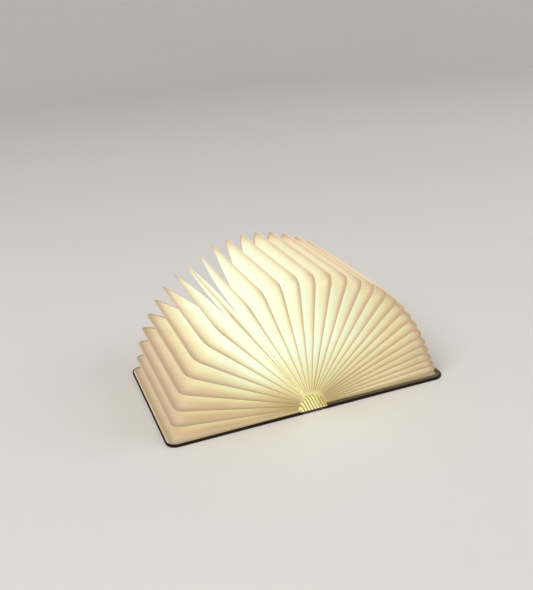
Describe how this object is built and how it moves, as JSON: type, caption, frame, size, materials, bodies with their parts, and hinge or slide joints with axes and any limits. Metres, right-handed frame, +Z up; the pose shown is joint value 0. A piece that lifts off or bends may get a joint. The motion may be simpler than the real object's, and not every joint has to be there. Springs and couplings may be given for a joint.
{
  "type": "folding book lamp",
  "caption": "Folding lamp shaped like a book: walnut covers open flat and fan out glowing paper leaves from a spine that holds light, battery and charging port.",
  "frame": {"origin": "on the table under the middle of the open book, the centre of the bounding box's underside", "axes": "+X across the open book to the right cover, +Y along the spine to the end with the charging port, +Z up"},
  "size_m": [0.3512, 0.215, 0.1664],
  "materials": {
    "tyvek_paper": "spun paper, lit from inside, warm white",
    "walnut": "oiled walnut veneer, matt",
    "cover_core": "dark stained board edge",
    "black_cloth": "fine black bookbinding cloth",
    "nickel": "nickel plated magnet",
    "ivory_plastic": "moulded, fine texture",
    "diffuser_plastic": "ribbed, translucent, lit warm yellow",
    "screw_steel": "small self-tapping screws",
    "cell_foil": "pouch cell foil",
    "foam": "adhesive pad",
    "wire_insulation": "silicone insulation",
    "white_board": "white solder mask",
    "led_phosphor": "lit phosphor",
    "green_board": "green solder mask",
    "port_steel": "stamped steel shell",
    "chip_black": "moulded package",
    "clear_plastic": "smoke-white plastic"
  },
  "bodies": {
    "spine": {"spine_slat_1": "walnut", "spine_slat_2": "walnut", "spine_slat_3": "walnut", "spine_slat_4": "walnut", "spine_backing": "black_cloth", "tray": "ivory_plastic", "diffuser": "diffuser_plastic", "near_cap": "ivory_plastic", "far_cap": "ivory_plastic", "cap_screws": "screw_steel", "battery_cell": "cell_foil", "cell_pad": "foam", "cell_leads": "wire_insulation", "led_board": "white_board", "leds": "led_phosphor", "control_board": "green_board", "charging_port": "port_steel", "tact_switch": "chip_black", "light_pipe": "clear_plastic", "hall_sensor": "chip_black"},
    "left_cover": {"left_veneer": "walnut", "left_board": "cover_core", "left_hinge_cloth": "black_cloth", "left_endpaper": "tyvek_paper", "left_magnets": "nickel"},
    "right_cover": {"right_veneer": "walnut", "right_board": "cover_core", "right_hinge_cloth": "black_cloth", "right_endpaper": "tyvek_paper", "right_magnets": "nickel", "trigger_magnet": "nickel"},
    "button": {"mode_button": "clear_plastic"},
    "leaf_01": {"leaf_01": "tyvek_paper"},
    "leaf_02": {"leaf_02": "tyvek_paper"},
    "leaf_03": {"leaf_03": "tyvek_paper"},
    "leaf_04": {"leaf_04": "tyvek_paper"},
    "leaf_05": {"leaf_05": "tyvek_paper"},
    "leaf_06": {"leaf_06": "tyvek_paper"},
    "leaf_07": {"leaf_07": "tyvek_paper"},
    "leaf_08": {"leaf_08": "tyvek_paper"},
    "leaf_09": {"leaf_09": "tyvek_paper"},
    "leaf_10": {"leaf_10": "tyvek_paper"},
    "leaf_11": {"leaf_11": "tyvek_paper"},
    "leaf_12": {"leaf_12": "tyvek_paper"},
    "leaf_13": {"leaf_13": "tyvek_paper"},
    "leaf_14": {"leaf_14": "tyvek_paper"},
    "leaf_15": {"leaf_15": "tyvek_paper"},
    "leaf_16": {"leaf_16": "tyvek_paper"},
    "leaf_17": {"leaf_17": "tyvek_paper"},
    "leaf_18": {"leaf_18": "tyvek_paper"},
    "leaf_19": {"leaf_19": "tyvek_paper"},
    "leaf_20": {"leaf_20": "tyvek_paper"},
    "leaf_21": {"leaf_21": "tyvek_paper"},
    "leaf_22": {"leaf_22": "tyvek_paper"},
    "leaf_23": {"leaf_23": "tyvek_paper"},
    "leaf_24": {"leaf_24": "tyvek_paper"},
    "leaf_25": {"leaf_25": "tyvek_paper"},
    "leaf_26": {"leaf_26": "tyvek_paper"},
    "leaf_27": {"leaf_27": "tyvek_paper"},
    "leaf_28": {"leaf_28": "tyvek_paper"}
  },
  "joints": [
    {"name": "right_cover_hinge", "type": "hinge", "parent": "spine", "child": "right_cover", "pos_m": [0.00957, 0, 0.004], "axis": [0, 1, 0], "range_deg": [-90, 65]},
    {"name": "left_cover_hinge", "type": "hinge", "parent": "spine", "child": "left_cover", "pos_m": [-0.00957, 0, 0.004], "axis": [0, 1, 0], "range_deg": [-65, 90]},
    {"name": "leaf_01_hinge", "type": "hinge", "parent": "spine", "child": "leaf_01", "pos_m": [-0.00891, 0, 0.00614], "axis": [0, 1, 0], "range_deg": [-60.49, 83.75]},
    {"name": "leaf_02_hinge", "type": "hinge", "parent": "spine", "child": "leaf_02", "pos_m": [-0.00825, 0, 0.00799], "axis": [0, 1, 0], "range_deg": [-55.74, 77.18]},
    {"name": "leaf_03_hinge", "type": "hinge", "parent": "spine", "child": "leaf_03", "pos_m": [-0.00759, 0, 0.00957], "axis": [0, 1, 0], "range_deg": [-50.8, 70.33]},
    {"name": "leaf_04_hinge", "type": "hinge", "parent": "spine", "child": "leaf_04", "pos_m": [-0.00693, 0, 0.01089], "axis": [0, 1, 0], "range_deg": [-45.67, 63.24]},
    {"name": "leaf_05_hinge", "type": "hinge", "parent": "spine", "child": "leaf_05", "pos_m": [-0.00627, 0, 0.01199], "axis": [0, 1, 0], "range_deg": [-40.4, 55.94]},
    {"name": "leaf_06_hinge", "type": "hinge", "parent": "spine", "child": "leaf_06", "pos_m": [-0.00561, 0, 0.0129], "axis": [0, 1, 0], "range_deg": [-35, 48.46]},
    {"name": "leaf_07_hinge", "type": "hinge", "parent": "spine", "child": "leaf_07", "pos_m": [-0.00495, 0, 0.01364], "axis": [0, 1, 0], "range_deg": [-29.5, 40.85]},
    {"name": "leaf_08_hinge", "type": "hinge", "parent": "spine", "child": "leaf_08", "pos_m": [-0.00429, 0, 0.01424], "axis": [0, 1, 0], "range_deg": [-23.93, 33.13]},
    {"name": "leaf_09_hinge", "type": "hinge", "parent": "spine", "child": "leaf_09", "pos_m": [-0.00363, 0, 0.01471], "axis": [0, 1, 0], "range_deg": [-18.3, 25.34]},
    {"name": "leaf_10_hinge", "type": "hinge", "parent": "spine", "child": "leaf_10", "pos_m": [-0.00297, 0, 0.01506], "axis": [0, 1, 0], "range_deg": [-12.66, 17.53]},
    {"name": "leaf_11_hinge", "type": "hinge", "parent": "spine", "child": "leaf_11", "pos_m": [-0.00231, 0, 0.01529], "axis": [0, 1, 0], "range_deg": [-7.02, 9.71]},
    {"name": "leaf_12_hinge", "type": "hinge", "parent": "spine", "child": "leaf_12", "pos_m": [-0.00165, 0, 0.0154], "axis": [0, 1, 0], "range_deg": [-1.4, 1.94]},
    {"name": "leaf_13_hinge", "type": "hinge", "parent": "spine", "child": "leaf_13", "pos_m": [-0.00099, 0, 0.0154], "axis": [0, 1, 0], "range_deg": [-5.77, 4.17]},
    {"name": "leaf_14_hinge", "type": "hinge", "parent": "spine", "child": "leaf_14", "pos_m": [-0.00033, 0, 0.0154], "axis": [0, 1, 0], "range_deg": [-13.36, 9.65]},
    {"name": "leaf_15_hinge", "type": "hinge", "parent": "spine", "child": "leaf_15", "pos_m": [0.00033, 0, 0.0154], "axis": [0, 1, 0], "range_deg": [-20.8, 15.03]},
    {"name": "leaf_16_hinge", "type": "hinge", "parent": "spine", "child": "leaf_16", "pos_m": [0.00099, 0, 0.0154], "axis": [0, 1, 0], "range_deg": [-28.07, 20.27]},
    {"name": "leaf_17_hinge", "type": "hinge", "parent": "spine", "child": "leaf_17", "pos_m": [0.00165, 0, 0.0154], "axis": [0, 1, 0], "range_deg": [-35.12, 25.37]},
    {"name": "leaf_18_hinge", "type": "hinge", "parent": "spine", "child": "leaf_18", "pos_m": [0.00231, 0, 0.01529], "axis": [0, 1, 0], "range_deg": [-41.92, 30.28]},
    {"name": "leaf_19_hinge", "type": "hinge", "parent": "spine", "child": "leaf_19", "pos_m": [0.00297, 0, 0.01506], "axis": [0, 1, 0], "range_deg": [-48.43, 34.98]},
    {"name": "leaf_20_hinge", "type": "hinge", "parent": "spine", "child": "leaf_20", "pos_m": [0.00363, 0, 0.01471], "axis": [0, 1, 0], "range_deg": [-54.62, 39.45]},
    {"name": "leaf_21_hinge", "type": "hinge", "parent": "spine", "child": "leaf_21", "pos_m": [0.00429, 0, 0.01424], "axis": [0, 1, 0], "range_deg": [-60.46, 43.66]},
    {"name": "leaf_22_hinge", "type": "hinge", "parent": "spine", "child": "leaf_22", "pos_m": [0.00495, 0, 0.01364], "axis": [0, 1, 0], "range_deg": [-65.9, 47.59]},
    {"name": "leaf_23_hinge", "type": "hinge", "parent": "spine", "child": "leaf_23", "pos_m": [0.00561, 0, 0.0129], "axis": [0, 1, 0], "range_deg": [-70.91, 51.21]},
    {"name": "leaf_24_hinge", "type": "hinge", "parent": "spine", "child": "leaf_24", "pos_m": [0.00627, 0, 0.01199], "axis": [0, 1, 0], "range_deg": [-75.46, 54.5]},
    {"name": "leaf_25_hinge", "type": "hinge", "parent": "spine", "child": "leaf_25", "pos_m": [0.00693, 0, 0.01089], "axis": [0, 1, 0], "range_deg": [-79.51, 57.42]},
    {"name": "leaf_26_hinge", "type": "hinge", "parent": "spine", "child": "leaf_26", "pos_m": [0.00759, 0, 0.00957], "axis": [0, 1, 0], "range_deg": [-83.02, 59.96]},
    {"name": "leaf_27_hinge", "type": "hinge", "parent": "spine", "child": "leaf_27", "pos_m": [0.00825, 0, 0.00799], "axis": [0, 1, 0], "range_deg": [-85.97, 62.09]},
    {"name": "leaf_28_hinge", "type": "hinge", "parent": "spine", "child": "leaf_28", "pos_m": [0.00891, 0, 0.00614], "axis": [0, 1, 0], "range_deg": [-88.3, 63.77]},
    {"name": "mode_button_press", "type": "slide", "parent": "spine", "child": "button", "axis": [0, -1, 0], "range_m": [0, 0.0005], "stiffness_N_per_m": 400, "springref_m": -0.0005}
  ],
  "couplings": [
    {"joint": "left_cover_hinge", "follows": "right_cover_hinge", "ratio": -1},
    {"joint": "leaf_01_hinge", "follows": "right_cover_hinge", "ratio": -0.93053},
    {"joint": "leaf_02_hinge", "follows": "right_cover_hinge", "ratio": -0.85755},
    {"joint": "leaf_03_hinge", "follows": "right_cover_hinge", "ratio": -0.78146},
    {"joint": "leaf_04_hinge", "follows": "right_cover_hinge", "ratio": -0.70265},
    {"joint": "leaf_05_hinge", "follows": "right_cover_hinge", "ratio": -0.62152},
    {"joint": "leaf_06_hinge", "follows": "right_cover_hinge", "ratio": -0.53845},
    {"joint": "leaf_07_hinge", "follows": "right_cover_hinge", "ratio": -0.45385},
    {"joint": "leaf_08_hinge", "follows": "right_cover_hinge", "ratio": -0.3681},
    {"joint": "leaf_09_hinge", "follows": "right_cover_hinge", "ratio": -0.28159},
    {"joint": "leaf_10_hinge", "follows": "right_cover_hinge", "ratio": -0.19473},
    {"joint": "leaf_11_hinge", "follows": "right_cover_hinge", "ratio": -0.10791},
    {"joint": "leaf_12_hinge", "follows": "right_cover_hinge", "ratio": -0.02152},
    {"joint": "leaf_13_hinge", "follows": "right_cover_hinge", "ratio": 0.06405},
    {"joint": "leaf_14_hinge", "follows": "right_cover_hinge", "ratio": 0.1484},
    {"joint": "leaf_15_hinge", "follows": "right_cover_hinge", "ratio": 0.23114},
    {"joint": "leaf_16_hinge", "follows": "right_cover_hinge", "ratio": 0.31188},
    {"joint": "leaf_17_hinge", "follows": "right_cover_hinge", "ratio": 0.39022},
    {"joint": "leaf_18_hinge", "follows": "right_cover_hinge", "ratio": 0.46577},
    {"joint": "leaf_19_hinge", "follows": "right_cover_hinge", "ratio": 0.53814},
    {"joint": "leaf_20_hinge", "follows": "right_cover_hinge", "ratio": 0.60692},
    {"joint": "leaf_21_hinge", "follows": "right_cover_hinge", "ratio": 0.67173},
    {"joint": "leaf_22_hinge", "follows": "right_cover_hinge", "ratio": 0.73218},
    {"joint": "leaf_23_hinge", "follows": "right_cover_hinge", "ratio": 0.78787},
    {"joint": "leaf_24_hinge", "follows": "right_cover_hinge", "ratio": 0.8384},
    {"joint": "leaf_25_hinge", "follows": "right_cover_hinge", "ratio": 0.88339},
    {"joint": "leaf_26_hinge", "follows": "right_cover_hinge", "ratio": 0.92244},
    {"joint": "leaf_27_hinge", "follows": "right_cover_hinge", "ratio": 0.95515},
    {"joint": "leaf_28_hinge", "follows": "right_cover_hinge", "ratio": 0.98114}
  ]
}
